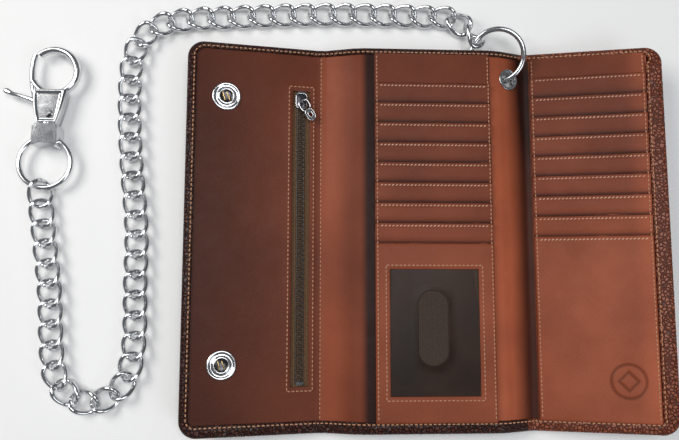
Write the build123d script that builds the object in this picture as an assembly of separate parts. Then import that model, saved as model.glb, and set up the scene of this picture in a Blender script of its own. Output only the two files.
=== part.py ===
"""Long trifold wallet in leather, lying open, with a steel chain and a trigger hook.

Units are millimetres. X runs along the open wallet, Y across it, Z is up, the table is Z = 0.
Every panel is drawn flat, inside face up, and is then turned about its fold into the open pose.
"""
import math
import os

from build123d import *

os.makedirs("parts", exist_ok=True)

# ---- overall sizes ---------------------------------------------------------------------
HEIGHT = 195.0            # wallet, along Y
MID_LEFT = -38.0          # fold between middle and left spine
MID_RIGHT = 33.0          # fold between middle and right spine
MID_LIFT = 6.0            # the middle lies this far above the table
LEFT_SPINE = 21.0
RIGHT_SPINE = 18.03
LEFT_WING = 67.5
RIGHT_WING = 69.1
LEFT_SPINE_TILT = 16.60   # degrees, spine falls from the middle to the table
RIGHT_SPINE_TILT = 19.44
LEFT_WING_RISE = 10.0     # degrees above the table
RIGHT_WING_RISE = 13.4

# ---- leather ---------------------------------------------------------------------------
SHELL = 1.2               # outer leather
FOLD_Z = 0.9              # height of every fold axis in the leather
LINING = 0.8
HEM = 0.9                 # turned-over edge lying on the lining
POCKET = 0.8              # room for the coin pocket behind the left lining
HEM_TOP = 3.4
HEM_BOTTOM = 6.0
HEM_LEFT = 4.4
HEM_RIGHT = 8.0
CORNER = 8.5
FIT = 0.15                # gap between pieces that are laid against each other
TOP_Y = HEIGHT / 2
BOTTOM_Y = -HEIGHT / 2

# ---- card pads -------------------------------------------------------------------------
CARD_STRIPS = 8
STRIP_THICK = 0.5
STRIP_RISE = 0.65
STRIP_TUCK = 4.0
MID_PAD_HALF = 30.0
MID_SLOT_TOP = 78.7
MID_SLOT_PITCH = 10.35
PAD_CORNER = 3.4
RIGHT_PAD_LEFT = 54.4
RIGHT_PAD_RIGHT = 111.6
RIGHT_SLOT_TOP = 83.9
RIGHT_SLOT_PITCH = 10.5

# ---- placing the finished assembly on its own centre --------------------------------------
SHIFT_X = 50.535
SHIFT_Y = -13.171

# ---- metal -----------------------------------------------------------------------------
SNAP_Y = (69.7, -63.5)
SNAP_FROM_FOLD = 48.0     # snap centre, measured from the left wing's fold
GROMMET_X = 40.8          # flat position on the right spine
GROMMET_Y = 82.6
GROMMET_OD = 11.0
GROMMET_ID = 8.0
RING_R = 13.5
RING_WIRE = 2.8
RING_CENTRE = (34.8, 95.04, 7.25)
RING_NORMAL = (0.27, 0.312, -0.911)
LINK_A = 6.7              # half length of a link's centre line
LINK_B = 5.2              # half width
LINK_C = 2.0              # how far the link is twisted out of its plane
LINK_WIRE = 2.3
HOOK_RING_CENTRE = (-195.9, 36.0, 4.85)
HOOK_RING_R = 12.8
HOOK_AXIS_X = -195.2

RIGHT_FOLD_X = MID_RIGHT + RIGHT_SPINE
LEFT_FOLD_X = MID_LEFT - LEFT_SPINE


# ---- helpers ---------------------------------------------------------------------------
def slab(x0, x1, y0, y1, z0, z1, radius=0.0, round_left=False, round_right=False):
    """A flat piece; the corners on one or both ends can be rounded."""
    body = Pos((x0 + x1) / 2, (y0 + y1) / 2, (z0 + z1) / 2) * Box(x1 - x0, y1 - y0, z1 - z0)
    if radius <= 0:
        return body
    edges = body.edges().filter_by(Axis.Z)
    if not round_left:
        edges = edges.filter_by(lambda e: e.center().X > (x0 + x1) / 2)
    if not round_right:
        edges = edges.filter_by(lambda e: e.center().X < (x0 + x1) / 2)
    return fillet(edges, radius)


def cylinder(x, y, z0, z1, radius):
    return Pos(x, y, (z0 + z1) / 2) * Cylinder(radius, z1 - z0)


def tube(x, y, z0, z1, outer, inner):
    return cylinder(x, y, z0, z1, outer) - cylinder(x, y, z0 - 1, z1 + 1, inner)


def torus(centre, normal, radius, wire):
    return Plane(origin=centre, z_dir=normal) * Torus(radius, wire / 2)


def turn_about_fold(body, fold_x, degrees_down):
    """Turn a flat piece about a fold; positive degrees lower the +X side."""
    shift = Pos(fold_x, 0, FOLD_Z)
    return shift * Rot(0, degrees_down, 0) * shift.inverse() * body


def save(name, bodies, place=lambda b: b):
    """Move a sub-part into the open pose, centre the assembly and write it."""
    if not isinstance(bodies, (list, tuple)):
        bodies = [bodies]
    moved = [Pos(SHIFT_X, SHIFT_Y, 0) * place(b) for b in bodies]
    solids = [s for b in moved for s in b.solids()]
    for s in solids:
        s.label = name
    shape = solids[0] if len(solids) == 1 else Compound(label=name, children=solids)
    export_step(shape, f"parts/{name}.step")


def on_middle(body):
    return Pos(0, 0, MID_LIFT) * body


def on_right_spine(body):
    return on_middle(turn_about_fold(body, MID_RIGHT, RIGHT_SPINE_TILT))


def on_right_wing(body):
    return on_right_spine(turn_about_fold(body, RIGHT_FOLD_X, -RIGHT_SPINE_TILT - RIGHT_WING_RISE))


def on_left_spine(body):
    return on_middle(turn_about_fold(body, MID_LEFT, -LEFT_SPINE_TILT))


def on_left_wing(body):
    return on_left_spine(turn_about_fold(body, LEFT_FOLD_X, LEFT_SPINE_TILT + LEFT_WING_RISE))


# ---- leather panels ----------------------------------------------------------------------
def panel(x0, x1, lining_z, hem_left=0.0, hem_right=0.0):
    """Outer leather with its edges turned over, and the lining caught under them.

    A side without a hem ends at a fold, where every layer stops short of the fold by
    its own height above the fold axis, so the panels can close on each other.
    """
    top = lining_z + LINING + HEM
    corner = CORNER if hem_left or hem_right else 0.0
    ends = {"radius": corner, "round_left": hem_left > 0, "round_right": hem_right > 0}
    floor_gap = 0.5
    gap = lining_z + LINING - FOLD_Z + 0.2
    hem_gap = top - FOLD_Z + 0.2
    left = x0 + (0 if hem_left else floor_gap)
    right = x1 - (0 if hem_right else floor_gap)
    shell = slab(left, right, BOTTOM_Y, TOP_Y, 0, top, **ends)
    wall = SHELL
    inner_left = x0 + (wall if hem_left else -5)
    inner_right = x1 - (wall if hem_right else -5)
    inner_ends = dict(ends, radius=max(corner - wall, 0))
    shell -= slab(inner_left, inner_right, BOTTOM_Y + wall, TOP_Y - wall, SHELL,
                  lining_z + LINING + FIT / 2, **inner_ends)
    open_left = x0 + (hem_left if hem_left else -5)
    open_right = x1 - (hem_right if hem_right else -5)
    open_ends = dict(ends, radius=3.0 if corner else 0)
    shell -= slab(open_left, open_right, BOTTOM_Y + HEM_BOTTOM, TOP_Y - HEM_TOP, SHELL, top + 1,
                  **open_ends)
    for fold, side, has_hem in ((x0, 1, hem_left), (x1, -1, hem_right)):
        if not has_hem:
            a, b = sorted((fold - side * 5, fold + side * hem_gap))
            shell -= slab(a, b, BOTTOM_Y - 1, TOP_Y + 1, SHELL, top + 1)
    lin_left = x0 + (wall + FIT if hem_left else gap)
    lin_right = x1 - (wall + FIT if hem_right else gap)
    lin_ends = dict(ends, radius=max(corner - wall - FIT, 0))
    lining = slab(lin_left, lin_right, BOTTOM_Y + wall + FIT, TOP_Y - wall - FIT,
                  lining_z + FIT / 2, lining_z + LINING - FIT / 2, **lin_ends)
    return shell, lining


def strip(x0, x1, y_top, y_bottom, z):
    """One card-slot strip: its lower end is tucked under the next strip's top edge."""
    slope = STRIP_RISE / MID_SLOT_PITCH
    z_top = z + slope * (y_top - y_bottom)
    outline = Polyline((y_bottom, z), (y_top, z_top), (y_top, z_top + STRIP_THICK),
                       (y_bottom, z + STRIP_THICK), close=True)
    face = Plane.YZ * make_face(outline)
    return Pos(x0, 0, 0) * extrude(face, x1 - x0)


def card_pad(prefix, x0, x1, y_first, pitch, z, place):
    """Stepped strips, each overlapping the one above it."""
    for i in range(CARD_STRIPS):
        y_top = y_first - i * pitch
        y_bottom = y_top - pitch - STRIP_TUCK
        save(f"{prefix}_card_slot_{i + 1}", strip(x0, x1, y_top, y_bottom, z), place)


LINING_TOP = SHELL + LINING

# right spine, which carries the grommet
shell, lining = panel(MID_RIGHT, RIGHT_FOLD_X, SHELL)
grommet_hole = cylinder(GROMMET_X, GROMMET_Y, -1, 5, GROMMET_OD / 2 - 0.6)
save("right_spine_shell", shell - grommet_hole, on_right_spine)
save("right_spine_lining", lining - grommet_hole, on_right_spine)
barrel = tube(GROMMET_X, GROMMET_Y, -0.1, LINING_TOP + 0.1, GROMMET_OD / 2 - 0.75, GROMMET_ID / 2)
flange = tube(GROMMET_X, GROMMET_Y, LINING_TOP + 0.1, LINING_TOP + 0.7, GROMMET_OD / 2, GROMMET_ID / 2)
grommet = barrel + flange
rim = grommet.edges().filter_by(GeomType.CIRCLE).filter_by(lambda e: e.center().Z > LINING_TOP + 0.6)
save("chain_grommet", fillet(rim, 0.28), on_right_spine)
washer = tube(GROMMET_X, GROMMET_Y, -0.55, -0.1, GROMMET_OD / 2, GROMMET_ID / 2 + 0.85)
save("grommet_washer", washer, on_right_spine)

# middle, with card pad and window
shell, lining = panel(MID_LEFT, MID_RIGHT, SHELL)
save("middle_shell", shell, on_middle)
save("middle_lining", lining, on_middle)
pad_bottom = BOTTOM_Y + HEM_BOTTOM + FIT
pad_top = TOP_Y - HEM_TOP - FIT
backing = slab(-MID_PAD_HALF, MID_PAD_HALF, pad_bottom, pad_top, LINING_TOP, LINING_TOP + 0.5)
save("middle_card_backing", backing, on_middle)
strip_z = LINING_TOP + 0.6
card_pad("middle", -MID_PAD_HALF, MID_PAD_HALF, MID_SLOT_TOP, MID_SLOT_PITCH, strip_z, on_middle)
window_top = MID_SLOT_TOP - CARD_STRIPS * MID_SLOT_PITCH
frame_z = LINING_TOP + 1.45
WINDOW_X = (-22.9, 21.9)
WINDOW_Y = (-79.3, -17.0)
frame = slab(-MID_PAD_HALF, MID_PAD_HALF, pad_bottom, window_top, frame_z, frame_z + 0.6)
frame += slab(-MID_PAD_HALF, MID_PAD_HALF, pad_bottom, window_top - STRIP_TUCK - 1,
              LINING_TOP + 0.6, frame_z)
frame -= slab(*WINDOW_X, *WINDOW_Y, LINING_TOP, frame_z + 2, 1.5, True, True)
frame -= slab(WINDOW_X[0] - 2, WINDOW_X[1] + 2, WINDOW_Y[0] - 2, WINDOW_Y[1] + 2,
              LINING_TOP, frame_z + 0.05)
save("id_window_frame", frame, on_middle)
film_z = LINING_TOP + 0.95
film_box = (WINDOW_X[0] - 1.8, WINDOW_X[1] + 1.8, WINDOW_Y[0] - 1.8, WINDOW_Y[1] + 1.8)
film = slab(*film_box, film_z, film_z + 0.3)
thumb_slot = Pos(-1.4, -46.0, 0) * extrude(Plane.XY * SlotCenterToCenter(22, 15, rotation=90), 10)
save("id_window_film", film - thumb_slot, on_middle)
save("id_window_backing", slab(*film_box, film_z - 0.3, film_z - 0.05), on_middle)

# left spine
shell, lining = panel(LEFT_FOLD_X, MID_LEFT, SHELL)
save("left_spine_shell", shell, on_left_spine)
save("left_spine_lining", lining, on_left_spine)

# left wing: coin pocket with its zip, and two snap sockets
LEFT_EDGE = LEFT_FOLD_X - LEFT_WING
left_lining_z = SHELL + POCKET
left_lining_top = left_lining_z + LINING
shell, lining = panel(LEFT_EDGE, LEFT_FOLD_X, left_lining_z, hem_left=HEM_LEFT)
ZIP_X = (-73.4, -64.2)
ZIP_Y = (-75.0, 75.0)
TEETH_X = -69.0
lining -= slab(*ZIP_X, *ZIP_Y, 0, 10, 1.0, True, True)
SNAP_X = LEFT_FOLD_X - SNAP_FROM_FOLD
for y in SNAP_Y:
    lining -= cylinder(SNAP_X, y, 0, 10, 4.6)
    shell -= cylinder(SNAP_X, y, -1, SHELL + 0.2, 2.1)
save("left_shell", shell, on_left_wing)
save("left_lining", lining, on_left_wing)
bag = slab(LEFT_EDGE + 24, LEFT_FOLD_X - 3.0, BOTTOM_Y + 9, TOP_Y - 9, SHELL + 0.05, SHELL + 0.3,
           3, True, True)
save("coin_pocket_bag", bag, on_left_wing)
tape_z = SHELL + 0.4
tape = slab(ZIP_X[0] - 2.5, ZIP_X[1] + 2.5, ZIP_Y[0] - 2, ZIP_Y[1] + 2, tape_z, tape_z + 0.4)
save("zip_tape", tape, on_left_wing)
teeth = [slab(TEETH_X - 1.5, TEETH_X + 1.5, -72.0 + 2.4 * i, -72.0 + 2.4 * i + 1.6,
              tape_z + 0.45, tape_z + 1.5)
         for i in range(58)]
save("zip_coils", teeth, on_left_wing)
stops = [slab(TEETH_X - 1.8, TEETH_X + 1.8, y - 0.8, y + 0.8, tape_z + 0.45, tape_z + 1.5)
         for y in (-73.3, 73.9)]
save("zip_stops", stops, on_left_wing)
slider_z = tape_z + 1.65
SLIDER_Y = 69.5
body = slab(TEETH_X - 2.9, TEETH_X + 2.9, SLIDER_Y - 4, SLIDER_Y + 4, slider_z, slider_z + 1.4,
            1.6, True, True)
PIN_Y = SLIDER_Y - 0.5
bridge = slab(TEETH_X - 0.8, TEETH_X + 0.8, PIN_Y - 2.1, PIN_Y + 2.1, slider_z + 1.4, slider_z + 4.1)
bridge -= slab(TEETH_X - 2, TEETH_X + 2, PIN_Y - 1.5, PIN_Y + 1.5, slider_z + 1.6, slider_z + 3.5)
save("zip_slider", body + bridge, on_left_wing)
# the puller hangs from its pin to one side, clear of the fold when the wing is closed
PULL_TURN = 33
PULL_LENGTH = 11.2
pull_z = slider_z + 2.55
loop = slab(-3.0, 3.0, -5.6, 0.6, pull_z - 0.6, pull_z + 0.6, 0.6, True, True)
loop -= slab(-2.1, 2.1, -4.4, -0.6, pull_z - 2, pull_z + 2)
tab = slab(-2.2, 2.2, -PULL_LENGTH, -5.5, pull_z - 0.6, pull_z + 0.6, 2.0, True, True)
tab += slab(-2.2, 2.2, -7.0, -5.0, pull_z - 0.6, pull_z + 0.6)
tab -= slab(-1.1, 1.1, -9.8, -6.6, pull_z - 2, pull_z + 2, 1.0, True, True)
save("zip_puller", Pos(TEETH_X, PIN_Y, 0) * Rot(0, 0, PULL_TURN) * (loop + tab), on_left_wing)
socket_z = SHELL + 0.1
sockets = []
caps = []
for y in SNAP_Y:
    ring = tube(SNAP_X, y, left_lining_top, left_lining_top + 0.9, 7.2, 2.9)
    ring += tube(SNAP_X, y, socket_z + 0.9, left_lining_top, 4.4, 2.9)
    sockets.append(fillet(ring.edges().filter_by(GeomType.CIRCLE).sort_by(Axis.Z)[-2:], 0.35))
    cap = cylinder(SNAP_X, y, -1.3, -0.05, 6.5)
    cap = fillet(cap.edges().filter_by(GeomType.CIRCLE).sort_by(Axis.Z)[0], 0.9)
    caps.append(cap + cylinder(SNAP_X, y, -0.05, SHELL + 0.1, 1.95))
save("snap_sockets", sockets, on_left_wing)
save("snap_caps", caps, on_left_wing)

# right wing: card pad, lower pocket and the snap studs on its outer face
RIGHT_EDGE = RIGHT_FOLD_X + RIGHT_WING
shell, lining = panel(RIGHT_FOLD_X, RIGHT_EDGE, SHELL, hem_right=HEM_RIGHT)
STUD_X = RIGHT_FOLD_X - (MID_LEFT + SNAP_FROM_FOLD - MID_RIGHT)
for y in SNAP_Y:
    shell -= cylinder(STUD_X, y, -1, SHELL + 0.2, 1.9)
    lining -= cylinder(STUD_X, y, 0, LINING_TOP + 1, 4.7)
save("right_shell", shell, on_right_wing)
save("right_lining", lining, on_right_wing)
backing = slab(RIGHT_PAD_LEFT, RIGHT_PAD_RIGHT, pad_bottom, pad_top, LINING_TOP, LINING_TOP + 0.5,
               PAD_CORNER, False, True)
save("right_card_backing", backing, on_right_wing)
card_pad("right", RIGHT_PAD_LEFT, RIGHT_PAD_RIGHT, RIGHT_SLOT_TOP, RIGHT_SLOT_PITCH, strip_z,
         on_right_wing)
pocket_top = RIGHT_SLOT_TOP - CARD_STRIPS * RIGHT_SLOT_PITCH
pocket = slab(RIGHT_PAD_LEFT, RIGHT_PAD_RIGHT, pad_bottom, pocket_top, frame_z, frame_z + 0.6,
              PAD_CORNER, False, True)
pocket += slab(RIGHT_PAD_LEFT, RIGHT_PAD_RIGHT - PAD_CORNER, pad_bottom, pad_bottom + 3,
               LINING_TOP + 0.55, frame_z + 0.6)
save("right_lower_pocket", pocket, on_right_wing)
studs = []
posts = []
for y in SNAP_Y:
    stud = cylinder(STUD_X, y, -0.55, -0.05, 4.2) + cylinder(STUD_X, y, -2.4, -0.55, 1.9)
    stud = fillet(stud.edges().filter_by(GeomType.CIRCLE).sort_by(Axis.Z)[0], 0.6)
    studs.append(stud)
    posts.append(cylinder(STUD_X, y, 0, SHELL + 0.1, 1.75)
                 + cylinder(STUD_X, y, SHELL + 0.1, LINING_TOP - 0.1, 4.5))
save("snap_studs", studs, on_right_wing)
save("snap_posts", posts, on_right_wing)


# ---- chain -----------------------------------------------------------------------------
def curb_link():
    """A twisted oval link, lofted in two halves through round sections of its wire."""
    halves = []
    for start in (0.0, math.pi):
        sections = []
        for k in range(9):
            t = start + math.pi * k / 8
            point = Vector(LINK_A * math.cos(t), LINK_B * math.sin(t), LINK_C * math.sin(2 * t))
            along = Vector(-LINK_A * math.sin(t), LINK_B * math.cos(t), 2 * LINK_C * math.cos(2 * t))
            across = Vector(0, 0, 1).cross(along)
            sections.append(Plane(origin=point, x_dir=across, z_dir=along) * Circle(LINK_WIRE / 2))
        halves.append(loft(sections))
    return halves[0] + halves[1]


LINK = curb_link()
FLAT_Z = LINK_C + LINK_WIRE / 2 + 0.05

# centre line of the chain on the table: along the top of the wallet, down beside its left
# edge, round a tight bend and back up to the hook ring
CHAIN_PATH = Spline(
    (6.9, 117.0), (-66.7, 116.8), (-110.0, 114.3), (-131.7, 112.2), (-143.5, 108.3),
    (-151.0, 100.5), (-154.6, 89.0), (-155.3, 74.0), (-152.6, 31.0), (-149.5, 0.0),
    (-149.3, -25.0), (-149.4, -58.0), (-155.3, -75.4), (-169.0, -82.0), (-182.7, -75.4),
    (-188.4, -58.0), (-190.9, -28.0), (-195.0, 0.0),
    (-197.3, 20.4))
LOOSE_STEPS = (13, 10.8)   # the top run is pulled a little straighter than the rest
TIGHT_STEPS = (33, 10.2)
SEGMENTS = 7
# the last two links lift towards the hook ring: height, tilt and roll, counted from the end
END_LINKS = {1: (3.74, -6.2, 12.5), 0: (4.58, -3.4, 25.8)}


def place_link(x, y, z, heading, tilt=0.0, roll=0.0):
    return Pos(x, y, z) * Rot(0, 0, heading) * Rot(0, tilt, 0) * Rot(roll, 0, 0) * LINK


# the first two links climb from the table into the ring
links = [
    place_link(22.24, 105.8, 6.37, 123.2, 9.6, 52.0),
    place_link(15.77, 113.52, 4.16, 136.8, 15.1, -5.9),
]
steps = [LOOSE_STEPS[1]] * LOOSE_STEPS[0] + [TIGHT_STEPS[1]] * TIGHT_STEPS[0]
total = sum(steps)
walked = 0.0
for i in range(len(steps) + 1):
    at = walked / total
    point = CHAIN_PATH.position_at(at)
    along = CHAIN_PATH.tangent_at(at)
    heading = math.degrees(math.atan2(along.Y, along.X))
    z, tilt, roll = END_LINKS.get(len(steps) - i, (FLAT_Z, 0.0, 0.0))
    links.append(place_link(point.X, point.Y, z, heading, tilt, roll))
    walked += steps[i] if i < len(steps) else 0
per_segment = math.ceil(len(links) / SEGMENTS)
for k in range(SEGMENTS):
    save(f"chain_links_{k + 1}", links[k * per_segment:(k + 1) * per_segment])

save("grommet_ring", torus(RING_CENTRE, RING_NORMAL, RING_R, RING_WIRE))
save("hook_ring", torus(HOOK_RING_CENTRE, (0, 0, 1), HOOK_RING_R, RING_WIRE))

# ---- swivel and trigger hook ----------------------------------------------------------------
HOOK_Z = HOOK_RING_CENTRE[2]
ring_top = HOOK_RING_CENTRE[1] + HOOK_RING_R
base = slab(HOOK_AXIS_X - 6.3, HOOK_AXIS_X + 6.3, ring_top - 5.2, ring_top + 6.4,
            HOOK_Z - 4.5, HOOK_Z + 4.5, 2.0, True, True)
base -= Pos(*HOOK_RING_CENTRE) * Torus(HOOK_RING_R, RING_WIRE / 2 + 0.25)
base -= cylinder(HOOK_RING_CENTRE[0], HOOK_RING_CENTRE[1], -1, 12, HOOK_RING_R - 3.4)
neck_y = ring_top + 6.4
base -= Pos(HOOK_AXIS_X, neck_y, HOOK_Z) * Rot(90, 0, 0) * Cylinder(2.0, 6)
base -= Pos(HOOK_AXIS_X, neck_y - 2.9, HOOK_Z) * Rot(90, 0, 0) * Cylinder(3.1, 1.6)
save("swivel_base", base)

eye_y = 83.0
eye_out = 13.2
eye_in = 9.6
hook = Pos(HOOK_AXIS_X + 2.0, eye_y, HOOK_Z) * (Cylinder(eye_out, 5.0) - Cylinder(eye_in, 8))
shank_top = eye_y - eye_in - 1.0
shank = Polyline((HOOK_AXIS_X - 5.0, neck_y + 0.3), (HOOK_AXIS_X + 5.0, neck_y + 0.3),
                 (HOOK_AXIS_X + 8.6, shank_top), (HOOK_AXIS_X - 8.6, shank_top), close=True)
hook += Pos(0, 0, HOOK_Z - 3.4) * extrude(make_face(shank), 6.8)
hook += Pos(HOOK_AXIS_X, neck_y - 1.0, HOOK_Z) * Rot(90, 0, 0) * Cylinder(1.8, 3.8)
hook += Pos(HOOK_AXIS_X, neck_y - 2.9, HOOK_Z) * Rot(90, 0, 0) * Cylinder(2.8, 1.1)
PIVOT = (HOOK_AXIS_X, 61.2)
mouth = slab(HOOK_AXIS_X - 14.0, HOOK_AXIS_X - 3.6, eye_y - 3.0, eye_y + 9.6, -1, 12)
cheek = slab(HOOK_AXIS_X - 20.0, HOOK_AXIS_X + 3.2, PIVOT[1] - 3.4, eye_y - 3.0,
             HOOK_Z - 1.6, HOOK_Z + 1.6)
hook = hook - mouth - cheek
hook -= cylinder(PIVOT[0], PIVOT[1], -1, 12, 1.45)
save("hook_body", hook)

pin = cylinder(PIVOT[0], PIVOT[1], HOOK_Z - 3.4, HOOK_Z + 3.4, 1.3)
pin += cylinder(PIVOT[0], PIVOT[1], HOOK_Z + 3.4 + 0.05, HOOK_Z + 4.2, 2.2)
pin += cylinder(PIVOT[0], PIVOT[1], HOOK_Z + 3.3, HOOK_Z + 3.5, 1.3)
save("trigger_pin", pin)

lever_t = 1.35
arm = Polyline((PIVOT[0] - 2.3, PIVOT[1] - 2.3), (PIVOT[0] + 2.3, PIVOT[1] - 2.3),
               (PIVOT[0] + 2.3, PIVOT[1] + 5.5), (PIVOT[0] - 5.4, eye_y - 6.0),
               (PIVOT[0] - 7.6, eye_y + 9.4), (PIVOT[0] - 11.0, eye_y + 9.2),
               (PIVOT[0] - 10.6, eye_y - 9.0), (PIVOT[0] - 21.5, PIVOT[1] + 12.6),
               (PIVOT[0] - 23.3, PIVOT[1] + 9.2), (PIVOT[0] - 9.5, PIVOT[1] + 6.2), close=True)
trigger = Pos(0, 0, HOOK_Z - lever_t) * extrude(make_face(arm), 2 * lever_t)
trigger -= cylinder(PIVOT[0], PIVOT[1], -1, 12, 1.45)
save("hook_trigger", trigger)
coil = tube(PIVOT[0] + 1.4, PIVOT[1] + 10.3, HOOK_Z - 1.4, HOOK_Z + 1.4, 1.5, 0.9)
save("trigger_spring", coil)
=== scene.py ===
import math

import bpy
from mathutils import Matrix, Vector, noise


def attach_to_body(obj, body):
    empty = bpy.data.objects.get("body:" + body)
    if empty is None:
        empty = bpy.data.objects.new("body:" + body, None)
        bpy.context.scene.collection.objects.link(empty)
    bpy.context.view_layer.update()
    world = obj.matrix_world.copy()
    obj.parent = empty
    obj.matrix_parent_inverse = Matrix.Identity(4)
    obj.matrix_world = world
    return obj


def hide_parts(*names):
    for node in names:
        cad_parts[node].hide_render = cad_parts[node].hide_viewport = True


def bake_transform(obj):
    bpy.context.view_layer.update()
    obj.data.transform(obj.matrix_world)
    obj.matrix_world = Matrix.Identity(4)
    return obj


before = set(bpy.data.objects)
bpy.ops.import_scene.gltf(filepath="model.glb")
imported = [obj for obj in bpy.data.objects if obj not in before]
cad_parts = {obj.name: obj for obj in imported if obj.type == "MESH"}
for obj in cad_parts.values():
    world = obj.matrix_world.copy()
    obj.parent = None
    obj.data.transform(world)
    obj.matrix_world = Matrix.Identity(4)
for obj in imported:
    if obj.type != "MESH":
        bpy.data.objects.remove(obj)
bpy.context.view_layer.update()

# ---- the wallet's flat layout, in millimetres, and its open pose -------------------------------
MM = 0.001
OX, OY = 50.535, -13.171          # from the flat layout to the frame
HALF = 97.5                       # half the wallet's height
LIFT, AXIS = 6.0, 0.9             # height of the middle panel, and of the folds in the leather
X_MID_L, X_MID_R = -38.0, 33.0    # folds beside the middle panel
X_LEFT, X_RIGHT = -59.0, 51.03    # folds of the two wings
X_MIN, X_MAX = -126.5, 120.13
TURNS = ((X_LEFT, 26.6), (X_MID_L, -16.6), (X_MID_R, -19.44), (X_RIGHT, 32.84))
FIRST_SLOPE = -10.0
BEND = 4.0                        # half the width of leather that bends at a fold
STEP = 0.25
RIGHT_STEPS, LEFT_STEPS = 500, 520                  # enough to pass both ends


def slope_at(x):
    a = FIRST_SLOPE
    for fold, turn in TURNS:
        t = min(max((x - fold + BEND) / (2 * BEND), 0.0), 1.0)
        a += turn * t * t * (3 - 2 * t)
    return math.radians(a)


def build_profile():
    points = {0: (0.0, LIFT + AXIS)}
    for sign, count in ((1, RIGHT_STEPS), (-1, LEFT_STEPS)):
        x, z = points[0]
        for i in range(count):
            a = slope_at(sign * (i + 0.5) * STEP)
            x += sign * STEP * math.cos(a)
            z += sign * STEP * math.sin(a)
            points[sign * (i + 1)] = (x, z)
    return points


PROFILE = build_profile()


def rest(x, y, z):
    """A point of the flat layout, moved to the open pose, in metres."""
    i = math.floor(x / STEP)
    t = x / STEP - i
    (x0, z0), (x1, z1) = PROFILE[i], PROFILE[i + 1]
    a = slope_at(x)
    h = z - AXIS
    px = x0 + (x1 - x0) * t - h * math.sin(a)
    pz = z0 + (z1 - z0) * t + h * math.cos(a)
    return Vector(((px + OX) * MM, (y + OY) * MM, pz * MM))


def ramp(x, a, b):
    """A smooth step from 0 at a to 1 at b."""
    t = min(max((x - a) / (b - a), 0.0), 1.0)
    return t * t * (3 - 2 * t)


def wobble(x, y, scale, seed=0.0):
    """Smooth unevenness of a given width."""
    return noise.noise(Vector((x / scale, y / scale, seed)))


def span(a, b, step):
    """Evenly spaced values from a to b."""
    n = max(1, round(abs(b - a) / step))
    return [a + (b - a) * i / n for i in range(n + 1)]


# ---- materials ---------------------------------------------------------------------------------
class Look:
    """A small helper for building a material's nodes."""

    def __init__(self, name, rough=0.5, metal=0.0):
        self.mat = bpy.data.materials.new(name)
        self.mat.use_nodes = True
        self.tree = self.mat.node_tree
        self.bsdf = self.tree.nodes["Principled BSDF"]
        self.bsdf.inputs["Roughness"].default_value = rough
        self.bsdf.inputs["Metallic"].default_value = metal
        self.uv = self.node("ShaderNodeTexCoord").outputs["UV"]

    def node(self, kind, **inputs):
        n = self.tree.nodes.new(kind)
        for key, value in inputs.items():
            if isinstance(value, bpy.types.NodeSocket):
                self.tree.links.new(value, n.inputs[key])
            else:
                n.inputs[key].default_value = value
        return n

    def noise(self, scale, detail=3.0, rough=0.55, vector=None):
        n = self.node("ShaderNodeTexNoise", Scale=scale, Detail=detail, Roughness=rough)
        self.tree.links.new(vector or self.uv, n.inputs["Vector"])
        return n.outputs["Fac"]

    def cells(self, scale, feature="F1", rand=1.0):
        n = self.node("ShaderNodeTexVoronoi", Scale=scale, Randomness=rand)
        n.feature = feature
        self.tree.links.new(self.uv, n.inputs["Vector"])
        return n.outputs["Distance"]

    def curve(self, fac, stops):
        n = self.node("ShaderNodeValToRGB", Fac=fac)
        elements = n.color_ramp.elements
        while len(elements) < len(stops):
            elements.new(0.5)
        for e, (pos, col) in zip(elements, stops):
            e.position = pos
            e.color = col if len(col) == 4 else (*col, 1)
        return n.outputs["Color"]

    def math(self, op, a, b=0.0):
        n = self.node("ShaderNodeMath")
        n.operation = op
        for k, value in enumerate((a, b)):
            if isinstance(value, bpy.types.NodeSocket):
                self.tree.links.new(value, n.inputs[k])
            else:
                n.inputs[k].default_value = value
        return n.outputs[0]

    def mix(self, fac, a, b, blend="MIX"):
        n = self.tree.nodes.new("ShaderNodeMix")
        n.data_type = "RGBA"
        n.blend_type = blend
        for key, value in ((0, fac), (6, a), (7, b)):
            if isinstance(value, bpy.types.NodeSocket):
                self.tree.links.new(value, n.inputs[key])
            else:
                n.inputs[key].default_value = value
        return n.outputs[2]

    def colour(self, value):
        if isinstance(value, bpy.types.NodeSocket):
            self.tree.links.new(value, self.bsdf.inputs["Base Color"])
        else:
            self.bsdf.inputs["Base Color"].default_value = value

    def bump(self, height, strength, distance):
        n = self.node("ShaderNodeBump", Height=height, Strength=strength, Distance=distance)
        before = self.bsdf.inputs["Normal"]
        if before.is_linked:
            self.tree.links.new(before.links[0].from_socket, n.inputs["Normal"])
        self.tree.links.new(n.outputs["Normal"], before)

    def roughness(self, fac, low, high):
        n = self.node("ShaderNodeMapRange", Value=fac)
        n.inputs["To Min"].default_value = low
        n.inputs["To Max"].default_value = high
        self.tree.links.new(n.outputs["Result"], self.bsdf.inputs["Roughness"])


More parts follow.
